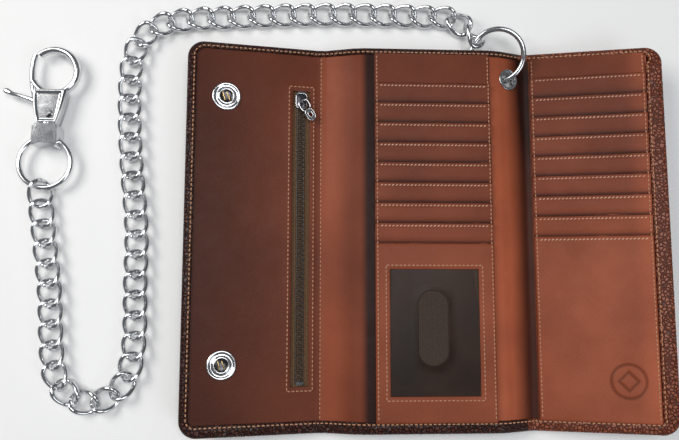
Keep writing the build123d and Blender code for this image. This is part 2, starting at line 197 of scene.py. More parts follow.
def smooth_leather(name, light, mid, dark):
    """Fine-grained waxed leather, with painted light and shade from a per-vertex attribute: darker
    where it is low.
    """
    k = Look(name, 0.45)
    broad = k.noise(1.6, 4.0, 0.6)
    col = k.curve(broad, ((0.3, dark), (0.5, mid), (0.72, light)))
    fine = k.noise(220.0, 2.0, 0.7)
    specks = k.curve(fine, ((0.35, (0.02, 0.008, 0.004)), (0.65, (0.6, 0.28, 0.16))))
    col = k.mix(0.12, col, specks)
    # painted light and shade: a per-vertex attribute multiplies the colour, down to near black
    shading_layer = k.node("ShaderNodeAttribute")
    shading_layer.attribute_name = "painted_shading"
    tint = k.curve(shading_layer.outputs["Fac"], ((0.0, (0.02, 0.012, 0.010)), (0.3, (0.30, 0.28, 0.27)),
                                         (1.0, (1, 1, 1))))
    k.colour(k.mix(1.0, col, tint, "MULTIPLY"))
    pores = k.cells(165.0)
    grain = k.math("ADD", k.math("MULTIPLY", pores, 0.8), k.math("MULTIPLY", fine, 0.4))
    k.bump(grain, 0.30, 0.00022)
    k.bump(k.noise(9.0, 4.0, 0.6), 0.25, 0.0006)
    k.roughness(k.noise(14.0, 3.0), 0.36, 0.56)
    k.bsdf.inputs["Specular IOR Level"].default_value = 0.17
    return k.mat


def embossed_leather(name, high, low):
    """Polished leather pressed with an irregular scale pattern."""
    k = Look(name, 0.3)
    edge = k.cells(58.0, "DISTANCE_TO_EDGE")
    small = k.cells(150.0)
    plate = k.math("MINIMUM", k.math("MULTIPLY", edge, 5.0), 1.0)
    col = k.curve(plate, ((0.0, (0.012, 0.004, 0.003)), (0.45, low), (1.0, high)))
    k.colour(k.mix(k.noise(3.0, 3.0), col, (*low, 1)))
    k.bump(plate, 0.8, 0.0006)
    k.bump(small, 0.2, 0.0002)
    k.roughness(k.noise(20.0), 0.22, 0.46)
    k.bsdf.inputs["Specular IOR Level"].default_value = 0.28
    k.bsdf.inputs["Coat Weight"].default_value = 0.06
    k.bsdf.inputs["Coat Roughness"].default_value = 0.15
    return k.mat


def thread(name, light, dark):
    """Waxed sewing thread."""
    k = Look(name, 0.6)
    k.colour(k.curve(k.noise(160.0), ((0.35, dark), (0.65, light))))
    k.bsdf.inputs["Sheen Weight"].default_value = 0.3
    return k.mat


def metal(name, colour, rough):
    """Polished metal with faint tarnish and fine scratches."""
    k = Look(name, rough, 1.0)
    obj = k.node("ShaderNodeTexCoord").outputs["Object"]
    broad = k.noise(90.0, 3.0, 0.6, obj)
    k.colour(k.curve(broad, ((0.3, tuple(c * 0.82 for c in colour)), (0.6, colour))))
    fine = k.noise(2600.0, 2.0, 0.6, obj)
    k.bump(fine, 0.06, 0.0001)
    k.roughness(k.noise(260.0, 2.0, 0.5, obj), rough * 0.7, rough * 1.5)
    return k.mat


def fabric_look(name, light, dark, scale):
    """Close-woven cloth."""
    k = Look(name, 0.85)
    k.colour(k.curve(k.cells(scale, rand=0.25), ((0.1, light), (0.6, dark))))
    k.bump(k.cells(scale, rand=0.25), 0.6, 0.0003)
    k.bsdf.inputs["Sheen Weight"].default_value = 0.4
    return k.mat


def film_look():
    """Dark, slightly rippled window film."""
    k = Look("window_film", 0.22)
    k.bsdf.inputs["Specular IOR Level"].default_value = 0.12
    broad = k.noise(2.2, 4.0, 0.6)
    k.colour(k.curve(broad, ((0.3, (0.014, 0.008, 0.006)), (0.75, (0.045, 0.023, 0.015)))))
    k.bump(k.noise(5.0, 2.0), 0.2, 0.0008)
    k.roughness(k.noise(9.0), 0.24, 0.42)
    return k.mat


def plastic_look(name, colour, rough):
    """Moulded plastic."""
    k = Look(name, rough)
    k.colour(k.curve(k.noise(60.0), ((0.3, tuple(c * 0.7 for c in colour)), (0.7, colour))))
    k.bump(k.noise(300.0), 0.1, 0.0001)
    return k.mat


LEATHER = smooth_leather("leather_smooth",
                         (0.52, 0.125, 0.054), (0.42, 0.094, 0.040), (0.33, 0.070, 0.028))
# the pads' copies differ from the lining's leather only in brightness: painted light, the middle pad
# darker and the right pad lighter
LEATHER_PAD = smooth_leather("leather_pad",
                             (0.49, 0.118, 0.051), (0.39, 0.087, 0.037), (0.31, 0.066, 0.027))
LEATHER_RIGHT = smooth_leather("leather_right_pad",
                               (0.54, 0.132, 0.058), (0.43, 0.098, 0.042), (0.34, 0.073, 0.030))
# a darker copy of the leather for each slot's lip: edge colour, and painted shade at the pocket's mouth
LEATHER_EDGE_SHADED = smooth_leather("leather_edge_and_painted_shade",
                              (0.16, 0.036, 0.016), (0.11, 0.024, 0.011), (0.07, 0.015, 0.008))
# the right end's copy, several times lighter and redder, is painted light where that hem faces the
# light
EMBOSSED = embossed_leather("leather_embossed", (0.10, 0.024, 0.012), (0.022, 0.006, 0.004))
EMBOSSED_LIT = embossed_leather("leather_embossed_lit", (0.42, 0.125, 0.062), (0.13, 0.030, 0.014))
THREAD = thread("thread_tan", (0.70, 0.36, 0.19), (0.46, 0.20, 0.09))
THREAD_DARK = thread("thread_brown", (0.66, 0.32, 0.18), (0.40, 0.17, 0.09))
THREAD_PALE = thread("thread_pale", (0.84, 0.52, 0.36), (0.56, 0.29, 0.18))
STEEL = metal("steel_polished", (0.74, 0.75, 0.77), 0.11)
BRASS = metal("brass_spring", (0.80, 0.58, 0.26), 0.25)
GUN = metal("black_nickel", (0.10, 0.10, 0.11), 0.25)
TAPE = fabric_look("zip_tape", (0.20, 0.095, 0.032), (0.055, 0.026, 0.010), 110.0)
BACKING = fabric_look("window_backing", (0.075, 0.040, 0.022), (0.022, 0.012, 0.008), 120.0)
FILM = film_look()
COIL = plastic_look("zip_coil", (0.045, 0.035, 0.028), 0.35)

# ---- meshes ------------------------------------------------------------------------------------
SECTIONS = {                      # fold: the bodies on its two sides, and where it is
    "A": ("left_wing", "left_spine", X_LEFT),
    "B": ("left_spine", "middle", X_MID_L),
    "C": ("middle", "right_spine", X_MID_R),
    "D": ("right_spine", "right_wing", X_RIGHT),
}
MID_LS = (X_LEFT + X_MID_L) / 2    # where the leather's meshes meet, between two folds
MID_RS = 46.5                     # the same on the right, clear of the grommet hole


def attach(obj, where):
    """Ride on one body, or, for a piece drawn across a fold, keep its placed shape with its transform
    baked.
    """
    if where in SECTIONS:
        a, b, fold = SECTIONS[where]
        rest(fold - BEND, 0, AXIS)
        rest(fold + BEND, 0, AXIS)
        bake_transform(obj)
    else:
        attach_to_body(obj, where)


def painted_shading_of(x, y, z):
    """Painted light and shade, how light the leather is: dark at the free edge of the left wing, down
    in the folds and in the shadow beside the pads, each panel at its own brightness.
    """
    if x < X_LEFT + 1.5:
        b = 0.15 + 0.21 * ramp(x, -122.0, -64.0) + 0.03 * ramp(y, 40.0, 95.0)
    elif x < -30.0:
        b = 0.64 - 0.22 * ramp(x, -52.0, -41.0) - 0.42 * ramp(x, -37.5, -33.0)
    elif x < 30.0:
        b = 0.30
    elif x < 54.2:
        b = (1.0 - 0.35 * ramp(x, 38.0, 44.0) - 0.53 * ramp(x, 42.0, 50.0)
             - 0.25 * ramp(y, 20.0, 95.0))
    else:
        b = 0.7
    return max(b * (1 + 0.16 * wobble(x, y, 30, 9.0)), 0.03)


def pad_shade(x, y, z=0.0):
    """Painted light on the pads: lighter towards the bottom edge, and the right one towards its outer
    edge.
    """
    b = (0.40 + 0.26 * ramp(-y, -75.0, 30.0) + 0.05 * ramp(-y, 30.0, 90.0)
         + 0.22 * ramp(x, 100.0, 111.0))
    return b * (1 + 0.16 * wobble(x, y, 26, 3.0))


def make(name, verts, faces, mats, where, mat_of=None, flat=True, painted_shading=painted_shading_of):
    """A mesh from flat-layout points, its UVs the flat layout in units of 100 mm."""
    used = sorted({i for f in faces for i in f})
    new_index = {old: new for new, old in enumerate(used)}
    verts = [verts[i] for i in used]
    faces = [tuple(new_index[i] for i in f) for f in faces]
    me = bpy.data.meshes.new(name)
    placed = [rest(*v) for v in verts] if flat else [Vector(v) for v in verts]
    me.from_pydata(placed, [], faces)
    layer = me.uv_layers.new(name="layout")
    for loop in me.loops:
        x, y = verts[loop.vertex_index][:2]
        layer.data[loop.index].uv = (x / 100, y / 100) if flat else (x * 10, y * 10)
    # each vertex gets its painted light and shade as an attribute, which the leather materials multiply
    # in
    if flat:
        shading_layer = me.attributes.new("painted_shading", "FLOAT", "POINT")
        shading_layer.data.foreach_set("value", [painted_shading(*v) for v in verts])
    mats = mats if isinstance(mats, (list, tuple)) else [mats]
    for m in mats:
        me.materials.append(m)
    for i, p in enumerate(me.polygons):
        p.use_smooth = True
        if mat_of:
            p.material_index = mat_of(i)
    me.validate()
    me.update()
    obj = bpy.data.objects.new(name, me)
    bpy.context.scene.collection.objects.link(obj)
    attach(obj, where)
    return obj


class Sheet:
    """Collects grids of quads into one mesh."""

    def __init__(self):
        self.v = []
        self.f = []

    def grid(self, rows, close=False, flip=False):
        base = len(self.v)
        n = len(rows[0])
        for row in rows:
            self.v.extend(row)
        for i in range(len(rows) - 1):
            for j in range(n if close else n - 1):
                a = base + i * n + j
                b = base + i * n + (j + 1) % n
                c = base + (i + 1) * n + (j + 1) % n
                d = base + (i + 1) * n + j
                self.f.append((a, d, c, b) if flip else (a, b, c, d))
        return base

    def cap(self, ring, flip=False):
        base = len(self.v)
        self.v.extend(ring)
        idx = tuple(range(base, base + len(ring)))
        self.f.append(idx[::-1] if flip else idx)

    def middle(self, face):
        """The middle of a quad, seen from above."""
        return sum(self.v[i][0] for i in face) / 4, sum(self.v[i][1] for i in face) / 4

    def cut_disc(self, cx, cy, r):
        """Leave out the quads inside a round hole; its ragged edge hides under the flange."""
        self.f = [f for f in self.f if math.dist(self.middle(f), (cx, cy)) > r]

    def cut_window(self, hole, height, bottom):
        """Leave out the quads inside a rectangle and line its edge down to the bottom."""
        x0, x1, y0, y1 = hole

        def inside(face):
            cx, cy = self.middle(face)
            return x0 < cx < x1 and y0 < cy < y1

        self.f = [f for f in self.f if not inside(f)]
        loop = [(x0, y) for y in span(y0, y1, 2)] + [(x, y1) for x in span(x0, x1, 2)]
        loop += [(x1, y) for y in span(y1, y0, 2)] + [(x, y0) for x in span(x1, x0, 2)]
        self.grid([[(x, y, height(x, y)) for x, y in loop], [(x, y, bottom) for x, y in loop]],
                  close=True)


def lining_z(x):
    """Height of the lining's face: the left panel is thicker, the strip beside it thinner."""
    z = 2.83 - 0.80 * ramp(x, -57.0, -55.8)
    for fold in (X_LEFT, X_MID_L, X_MID_R, X_RIGHT):
        z -= 0.22 * math.exp(-((x - fold) / 1.8) ** 2)
    return z


def hem_z(x):
    """Height of the hem's face."""
    return lining_z(x) + 0.9


def soft(x, y, amount=0.22):
    """The gentle unevenness of soft leather."""
    return amount * (wobble(x, y, 26, 1.3) + 0.4 * wobble(x, y, 9, 4.1))


# ---- outer shell with its turned-over edge -----------------------------------------------------
CORNER = 8.5                      # radius of the wallet's corners
UNDER = 8.4                       # how far in the edge's own grid reaches on the outside
LEFT_HEM, RIGHT_HEM, TOP_HEM, BOTTOM_HEM = 4.4, 8.0, 3.4, 6.0
HEM_STITCH = 1.1                  # from a hem's inner edge to its stitching
GROMMET = (40.8, 82.6, 4.2)       # middle and radius of the hole under its flange


def edge_path(side):
    """Outline of one end of the wallet: points, inward normals and hem widths."""
    end = X_MIN if side < 0 else X_MAX
    seam = MID_LS if side < 0 else MID_RS
    wide = LEFT_HEM if side < 0 else RIGHT_HEM
    xs = span(seam, end - side * CORNER, 1.5)
    path = [(x, HALF, 0, -1, TOP_HEM) for x in xs]
    cx = end - side * CORNER
    for i in range(1, 12):
        a = math.pi / 2 * i / 12
        nx, ny = -side * math.sin(a), -math.cos(a)
        path.append((cx - nx * CORNER, HALF - CORNER - ny * CORNER, nx, ny,
                     TOP_HEM + (wide - TOP_HEM) * i / 12))
    path += [(end, y, -side, 0, wide) for y in span(HALF - CORNER, -HALF + CORNER, 3.0)]
    for i in range(1, 12):
        a = math.pi / 2 * i / 12
        nx, ny = -side * math.cos(a), math.sin(a)
        path.append((cx - nx * CORNER, -HALF + CORNER - ny * CORNER, nx, ny,
                     wide + (BOTTOM_HEM - wide) * i / 12))
    path += [(x, -HALF, 0, 1, BOTTOM_HEM) for x in reversed(xs)]
    return path, xs


def edge_row(x, y, nx, ny, hem):
    """A section through the edge: under the wallet, round the fold and over the hem."""
    t = hem_z(x)
    wave = 0.10 * wobble(x + y, y - x, 14, 2.0)
    section = ((UNDER, 0), (3.0, 0), (1.6, 0.02), (0.7, 0.16), (0.15, 0.6), (0, 1.2),
               (0.05, t - 0.9), (0.32, t - 0.34), (0.85, t - 0.04), (1.5, t + 0.03),
               (hem - 1.75, t + 0.04), (hem - 1.35, t - 0.03), (hem - HEM_STITCH, t - 0.10),
               (hem - 0.85, t - 0.02), (hem - 0.45, t + 0.02), (hem - 0.14, t - 0.10),
               (hem, t - 0.34), (hem + 0.03, t - 1.0))
    row = []
    for s, z in section:
        if s > 2 and z > 1:
            s += wave
        row.append((x + nx * s, y + ny * s, z))
    return row


def shell_end(name, side, where, nodes):
    s = Sheet()
    path, xs = edge_path(side)
    s.grid([edge_row(*p) for p in path], flip=side > 0)
    if side < 0:
        cols = [X_MIN + UNDER] + [x for x in sorted(xs) if x > X_MIN + CORNER]
    else:
        cols = [x for x in sorted(xs) if x < X_MAX - CORNER] + [X_MAX - UNDER]
    ys = span(-HALF + UNDER, HALF - UNDER, 6.0)
    s.grid([[(x, y, 0.0) for x in cols] for y in ys], flip=True)
    # the right end takes the lighter copy: painted light
    leather = EMBOSSED if side < 0 else EMBOSSED_LIT
    obj = make(name, s.v, s.f, leather, where)
    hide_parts(*nodes)


def shell_strip(name, x0, x1, where, nodes):
    s = Sheet()
    xs = span(x0, x1, 1.1)
    s.grid([edge_row(x, HALF, 0, -1, TOP_HEM) for x in xs])
    s.grid([edge_row(x, -HALF, 0, 1, BOTTOM_HEM) for x in xs], flip=True)
    ys = span(-HALF + UNDER, HALF - UNDER, 1.2 if x1 > GROMMET[0] else 6.0)
    s.grid([[(x, y, 0.0) for x in xs] for y in ys], flip=True)
    s.cut_disc(*GROMMET)
    obj = make(name, s.v, s.f, EMBOSSED, where)
    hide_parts(*nodes)


shell_end("outer_left", -1, "A", ["left_shell"])
shell_strip("outer_left_middle", MID_LS, 0.0, "B", ["left_spine_shell"])
shell_strip("outer_right_middle", 0.0, MID_RS, "C", ["middle_shell"])
shell_end("outer_right", 1, "D", ["right_shell", "right_spine_shell"])

# ---- linings -----------------------------------------------------------------------------------
ZIP = (-73.4, -64.2, -75.0, 75.0)                   # its opening: x0, x1, y0, y1
LINING_Y = (-HALF + 5.6, HALF - 3.0)                # both ends tuck under the hems


def clear_of(values, edges, gap):
    """The values that aren't within a gap of any edge."""
    return [v for v in values if min(abs(v - e) for e in edges) > gap]


def out_of(hole, x, y):
    """How far a point is outside a rectangle, along x or y."""
    return max(hole[0] - x, x - hole[1], hole[2] - y, y - hole[3])


def lining_height(x, y):
    return lining_z(x) + soft(x, y) * (0.6 if x < X_LEFT else 1.0)


def lining(name, x0, x1, where, nodes, hole=None):
    xs = span(x0, x1, 1.0)
    ys = span(*LINING_Y, 1.5)
    if hole:
        xs = sorted(clear_of(xs, hole[:2], 0.6) + list(hole[:2]))
        ys = sorted(clear_of(ys, hole[2:], 0.8) + list(hole[2:]))

    def height(x, y):
        z = lining_height(x, y)
        if hole:
            d = out_of(hole, x, y)
            z += 0.25 * math.exp(-(max(d, 0) / 3.0) ** 2) - (0.35 if d < 0.01 else 0)
        return z

    s = Sheet()
    s.grid([[(x, y, height(x, y)) for x in xs] for y in ys])
    if hole:
        s.cut_window(hole, height, 1.7)
    s.cut_disc(*GROMMET)
    obj = make(name, s.v, s.f, LEATHER, where)
    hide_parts(*nodes)


lining("lining_left", X_MIN + 4.0, MID_LS, "A", ["left_lining"], ZIP)
lining("lining_left_middle", MID_LS, 0.0, "B", ["left_spine_lining"])
lining("lining_right_middle", 0.0, MID_RS, "C", ["middle_lining"])
lining("lining_right", MID_RS, X_MAX - 7.4, "D", ["right_lining", "right_spine_lining"])


# ---- stitching ---------------------------------------------------------------------------------
THREAD_RADIUS = 0.33
STITCH = ((-0.5, 0.25, -0.25), (-0.38, 0.85, 0.0), (0.0, 1.0, 0.06), (0.38, 0.85, 0.0),
          (0.5, 0.25, -0.25))     # along it, thickness, lift


def circle(n):
    return [(math.cos(math.tau * k / n), math.sin(math.tau * k / n)) for k in range(n)]


def stitches(name, runs, where, height, mat=THREAD, pitch=2.3, length=1.6, lean=0.0):
    """Rows of short thread loops along polylines of the flat layout."""
    s = Sheet()
    ring = circle(6)
    for run in runs:
        total = sum(math.dist(a, b) for a, b in zip(run, run[1:]))
        n = max(1, round(total / pitch))
        marks = [(i + 0.5) * total / n for i in range(n)]
        walked = 0.0
        for a, b in zip(run, run[1:]):
            seg = math.dist(a, b)
            while marks and marks[0] <= walked + seg + 1e-6:
                t = (marks.pop(0) - walked) / seg
                cx, cy = a[0] + (b[0] - a[0]) * t, a[1] + (b[1] - a[1]) * t
                ang = math.atan2(b[1] - a[1], b[0] - a[0]) + lean
                ux, uy = math.cos(ang), math.sin(ang)
                rows = []
                for p, thick, lift in STITCH:
                    px, py = cx + ux * length * p, cy + uy * length * p
                    z = height(px, py) + lift + 0.03
                    r = THREAD_RADIUS * thick
                    rows.append([(px - uy * c * r, py + ux * c * r, z + q * r) for c, q in ring])
                s.grid(rows, close=True)
            walked += seg
    make(name, s.v, s.f, mat, where)


def hem_line(side):
    path, _ = edge_path(side)
    return [(x + nx * (hem - HEM_STITCH), y + ny * (hem - HEM_STITCH)) for x, y, nx, ny, hem in path]


def box_of(x0, x1, y0, y1):
    """The four sides of a rectangle, for stitching."""
    return [[(x0, y0), (x0, y1)], [(x0, y1), (x1, y1)], [(x1, y1), (x1, y0)], [(x1, y0), (x0, y0)]]


def hem_height(x, y):
    return hem_z(x) - 0.02


stitches("stitches_hem_left", [hem_line(-1)], "A", hem_height)
stitches("stitches_hem_right", [hem_line(1)], "D", hem_height)
for name, x0, x1, where in (("stitches_hem_b", MID_LS, 0.0, "B"), ("stitches_hem_c", 0.0, MID_RS, "C")):
    xs = span(x0, x1, 2.3)
    runs = [[(x, HALF - 2.3) for x in xs], [(x, -HALF + 4.9) for x in xs]]
    stitches(name, runs, where, hem_height)
stitches("stitches_zip", box_of(ZIP[0] - 1.7, ZIP[1] + 1.9, ZIP[2] - 2.0, ZIP[3] + 2.2),
         "left_wing", lambda x, y: lining_height(x, y) + 0.18, THREAD_DARK, 2.2)
stitches("stitches_left_seam", [[(-57.9, y) for y in span(-91.0, 93.5, 4)]], "A", lining_height,
         THREAD_DARK, 2.2)

# ---- card pads ---------------------------------------------------------------------------------
SLOPE = 0.65 / 10.35              # a strip lies on the one below it
PAD_BASE = 2.6
PAD_TOP = 4.05                    # face of the pocket and of the window frame
TUCK = 4.0                        # how far a strip goes down behind the next
STRIPS = 8
POCKET_BOTTOM = -HALF + 5.4
MIDDLE_X, RIGHT_X = (-30.0, 30.0), (54.4, 111.6)
PITCH_M, TOP_M = 10.35, 78.7
PITCH_R, TOP_R = 10.5, 83.9
LOW_M, LOW_R = TOP_M - STRIPS * PITCH_M, TOP_R - STRIPS * PITCH_R


def strip_z(y, y_bottom):
    return PAD_BASE + 0.5 + SLOPE * (y - y_bottom)


def card_strip(name, x0, x1, y_top, y_bottom, where, node, mat, seed):
    """One card pocket: a leather strip with a turned top edge, tucked behind the next strip."""
    s = Sheet()
    rows = []
    for x in span(x0, x1, 1.2):
        e = min(x - x0, x1 - x)
        round_x = 0.18 * max(0, 1 - e / 0.8)
        top = y_top + 0.25 * wobble(x, seed, 16, seed)
        puff = 0.14 + 0.22 * wobble(x, seed * 7, 12, seed + 3)
        puff *= min(1, e / 3)
        zt = strip_z(y_top, y_bottom) + puff
        sec = [(y_bottom, strip_z(y_bottom, y_bottom) - 0.30)]
        for t in (0.2, 0.28, 0.33, 0.40, 0.55, 0.7, 0.80, 0.84):
            y = y_bottom + (top - y_bottom) * t
            tuck = 0.34 * (1 - ramp(t, 0.26, 0.5))
            sec.append((y, strip_z(y, y_bottom) - tuck + puff * t + 0.10 * wobble(x, y, 6, 2.2)))
        sec += [(top - 1.95, zt - 0.02), (top - 1.55, zt - 0.12), (top - 1.15, zt + 0.02),
                (top - 0.55, zt + 0.12), (top - 0.16, zt + 0.04), (top, zt - 0.22),
                (top - 0.08, zt - 0.55), (top - 1.2, zt - 0.62)]
        rows.append([(x, y, z - round_x) for y, z in sec])
    s.grid(rows)
    wide = len(rows[0]) - 1

    # painted shade: dark on the part tucked behind the next strip and along the pocket's mouth, over
    # the pads' painted light
    def shade(x, y, z):
        below = 1.0 - ramp(y - y_bottom, TUCK, 6.6)
        mouth = 0.75 * ramp(y, y_top - 0.45, y_top - 0.02)
        return pad_shade(x, y) * (1.0 - 0.80 * below) * (1 - mouth)

    # the lip's last three rows of faces take the darker copy, edge colour with painted shade
    obj = make(name, s.v, s.f, [mat, LEATHER_EDGE_SHADED], where,
               mat_of=lambda i: 1 if i % wide >= wide - 3 else 0, painted_shading=shade)
    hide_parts(node)


def pad_base(name, x0, x1, where, node, mat):
    """The pad under the strips, with its edge turned down to the lining."""
    xs = [x0, x0 + 0.12, x0 + 0.5] + span(x0 + 1.2, x1 - 1.2, 2.0) + [x1 - 0.5, x1 - 0.12, x1]
    ys = span(*LINING_Y, 2.0)
    drop = {0: -0.55, 1: -0.18, 2: -0.03}

    def height(x, y, nth):
        return PAD_BASE + 0.42 + drop.get(nth, 0) + 0.5 * soft(x, y)

    s = Sheet()
    s.grid([[(x, y, height(x, y, min(j, len(xs) - 1 - j))) for j, x in enumerate(xs)] for y in ys])
    for x in (x0, x1):
        s.grid([[(x, y, height(x, y, 0)) for y in ys], [(x, y, 1.9) for y in ys]], flip=x == x0)
    obj = make(name, s.v, s.f, mat, where, painted_shading=pad_shade)
    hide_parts(node)


PADS = (("middle", *MIDDLE_X, TOP_M, PITCH_M, LOW_M, "middle", LEATHER_PAD),
        ("right", *RIGHT_X, TOP_R, PITCH_R, LOW_R, "right_wing", LEATHER_RIGHT))
for prefix, x0, x1, top, pitch, low, body, mat in PADS:
    pad_base(f"{prefix}_pad", x0, x1, body, f"{prefix}_card_backing", mat)
    lines = []
    for i in range(STRIPS):
        yt = top - i * pitch
        card_strip(f"{prefix}_slot_{i + 1}", x0, x1, yt, yt - pitch - TUCK, body,
                   f"{prefix}_card_slot_{i + 1}", mat, 1.7 + i)
        lines.append([(x0 + 2.4, yt - 1.5), (x1 - 2.4, yt - 1.5)])

    def slot_height(x, y):
        return strip_z(((y - top) % pitch) + TUCK, 0.0)

    def pad_height(x, y):
        if y > top:
            return PAD_BASE + 0.45
        return 4.06 if y < low else slot_height(x, y)

    stitches(f"{prefix}_slot_stitches", lines, body, lambda x, y: slot_height(x, y) + 0.02,
             THREAD_PALE, 1.9, 1.5, 0.5)
    sides = [[(x, y) for y in span(-90.5, 93.5, 3)] for x in (x0 + 1.1, x1 - 1.1)]
    stitches(f"{prefix}_side_stitches", sides, body, pad_height, THREAD_DARK, 2.1)


# ---- lower pocket of the right wing, and the window frame --------------------------------------
MARK_X, MARK_Y = 97.0, -72.0


def plate(name, x0, x1, y0, y1, z, where, node, mat, hole=None, step=1.6, amount=0.25, mark=None):
    """A flat piece with softened edges, and a hole or a pressed mark where it has one."""
    xs = [x0, x0 + 0.15, x0 + 0.6] + span(x0 + 1.4, x1 - 1.4, step) + [x1 - 0.6, x1 - 0.15, x1]
    ys = [y0, y0 + 0.15, y0 + 0.6] + span(y0 + 1.4, y1 - 1.4, step) + [y1 - 0.5, y1 - 0.12, y1]
    if mark:
        xs = sorted(set(xs + [x + 0.4 for x in xs if abs(x - MARK_X) < 11]))
        ys = sorted(set(ys + [y + 0.4 for y in ys if abs(y - MARK_Y) < 11]))
    if hole:
        xs = sorted(clear_of(xs, hole[:2], 0.7) + [hole[0], hole[0] - 0.35, hole[1], hole[1] + 0.35])
        ys = sorted(clear_of(ys, hole[2:], 0.7) + [hole[2], hole[2] - 0.35, hole[3], hole[3] + 0.35])

    def height(x, y):
        e = min(x - x0, x1 - x, y - y0, y1 - y)
        h = z - 0.5 * max(0, 1 - e / 0.5) ** 2 + amount * soft(x, y, 1.0)
        if hole:
            d = out_of(hole, x, y)
            h -= 0.28 * max(0, 1 - max(d, 0) / 0.35) ** 2
        if mark:
            h -= mark(x, y)
        return h

    # the pads' painted light, and darker in the pressed mark
    def shade(x, y, z):
        return pad_shade(x, y) * (1 - (0.85 * mark(x, y) if mark else 0))

    s = Sheet()
    s.grid([[(x, y, height(x, y)) for x in xs] for y in ys])
    if hole:
        s.cut_window(hole, height, z - 1.0)
    rim = [(x, y1) for x in xs] + [(x1, y) for y in reversed(ys)]
    rim += [(x, y0) for x in reversed(xs)] + [(x0, y) for y in ys]
    s.grid([[(x, y, height(x, y)) for x, y in rim], [(x, y, z - 1.4) for x, y in rim]],
           close=True, flip=True)
    obj = make(name, s.v, s.f, mat, where, painted_shading=shade)
    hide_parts(node)


def pressed_mark(x, y):
    """A plain pressed diamond inside a ring, low on the right pocket."""
    dx, dy = x - MARK_X, y - MARK_Y
    ring = math.exp(-((math.hypot(dx, dy) - 8.2) / 0.6) ** 2)
    diamond = math.exp(-((abs(dx) + abs(dy) - 4.6) / 0.8) ** 2)
    return 0.55 * max(ring, diamond)


plate("right_pocket", *RIGHT_X, POCKET_BOTTOM, LOW_R, 4.1, "right_wing", "right_lower_pocket",
      LEATHER_RIGHT, step=0.8, amount=0.35, mark=pressed_mark)
mouth_line = [(RIGHT_X[0] + 2.4, LOW_R - 1.6), (RIGHT_X[1] - 2.4, LOW_R - 1.6)]
stitches("right_pocket_stitches", [mouth_line], "right_wing", lambda x, y: 4.1, THREAD_PALE,
         1.9, 1.5, 0.5)

WIN = (-22.9, 21.9, -79.3, -17.0)
plate("window_frame", *MIDDLE_X, POCKET_BOTTOM, LOW_M, PAD_TOP, "middle", "id_window_frame",
      LEATHER_PAD, hole=WIN)
stitches("window_stitches", box_of(WIN[0] - 1.9, WIN[1] + 1.9, WIN[2] - 1.9, WIN[3] + 1.9),
         "middle", lambda x, y: PAD_TOP, THREAD_DARK, 2.1)


def stadium(cx, cy, r, half, n):
    """A round-ended slot, tall in y."""
    pts = []
    for i in range(n):
        a = math.tau * i / n
        y = math.sin(a) * r + (half if math.sin(a) > 0 else -half)
        if abs(math.sin(a)) < 1e-9:
            y = 0.0
        pts.append((cx + math.cos(a) * r, cy + y))
    return pts


def reach(middle, low, high, d):
    """How many times d fits between the middle and the edge on d's side."""
    if abs(d) < 1e-6:
        return math.inf
    return ((high if d > 0 else low) - middle) / d


def film():
    """Window film with a thumb slot, and the cloth behind it."""
    cx, cy = -1.4, -46.0
    top, lip = 3.28, 0.015
    inner = stadium(cx, cy, 7.5, 11.0, 96)
    x0, x1, y0, y1 = WIN[0] - 1.2, WIN[1] + 1.2, WIN[2] - 1.2, WIN[3] + 1.2
    rows = [[(x, y, 3.1) for x, y in inner], [(x, y, top) for x, y in inner]]
    for k in (lip, 0.04, 0.3, 0.6, 1.0):
        row = []
        for x, y in inner:
            dx, dy = x - cx, y - cy
            m = min(reach(cx, x0, x1, dx), reach(cy, y0, y1, dy))
            px, py = x + (cx + dx * m - x) * k, y + (cy + dy * m - y) * k
            row.append((px, py, top + 0.10 * (k == lip) + 0.12 * wobble(px, py, 20, 5)))
        rows.append(row)
    s = Sheet()
    s.grid(rows, close=True)
    obj = make("window_film", s.v, s.f, FILM, "middle")
    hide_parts("id_window_film")
    s = Sheet()
    s.grid([[(x, y, 3.12 + 0.04 * wobble(x, y, 12, 8)) for x in span(x0, x1, 2)]
            for y in span(y0, y1, 2)])
    obj = make("window_backing", s.v, s.f, BACKING, "middle")
    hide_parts("id_window_backing")


film()

# ---- zip ---------------------------------------------------------------------------------------
TEETH_X = -69.0
TEETH, TOOTH_PITCH, TOOTH_RADIUS = 124, 1.19, 0.42


def tape_z(x, y):
    return 1.75 + 0.25 * math.exp(-((x - TEETH_X) / 2.2) ** 2) + 0.05 * wobble(x, y, 5)


def zip_parts():
    s = Sheet()
    s.grid([[(x, y, tape_z(x, y)) for x in span(-76.5, -61.2, 0.8)] for y in span(-77, 77, 2)])
    obj = make("zip_tape_cloth", s.v, s.f, TAPE, "left_wing")
    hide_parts("zip_tape")
    s = Sheet()
    ring = circle(8)
    for i in range(TEETH):
        y = -73.0 + i * TOOTH_PITCH
        side = 1 if i % 2 else -1
        rows = []
        for p, thick in ((-0.5, 0.3), (-0.42, 0.85), (0, 1.0), (0.42, 0.85), (0.5, 0.3)):
            px = TEETH_X + side * 0.45 + p * 2.6
            r = TOOTH_RADIUS * thick
            rows.append([(px, y + c * r + side * p * 0.25, 2.45 + q * r) for c, q in ring])
        s.grid(rows, close=True)
    for dx in (-1.75, 1.75):
        rows = []
        for y in span(-73.5, 74.5, 1.5):
            rows.append([(TEETH_X + dx + c * 0.3, y, 2.25 + q * 0.3) for c, q in ring])
        s.grid(rows, close=True)
    obj = make("zip_coil_teeth", s.v, s.f, COIL, "left_wing")
    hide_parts("zip_coils")


zip_parts()


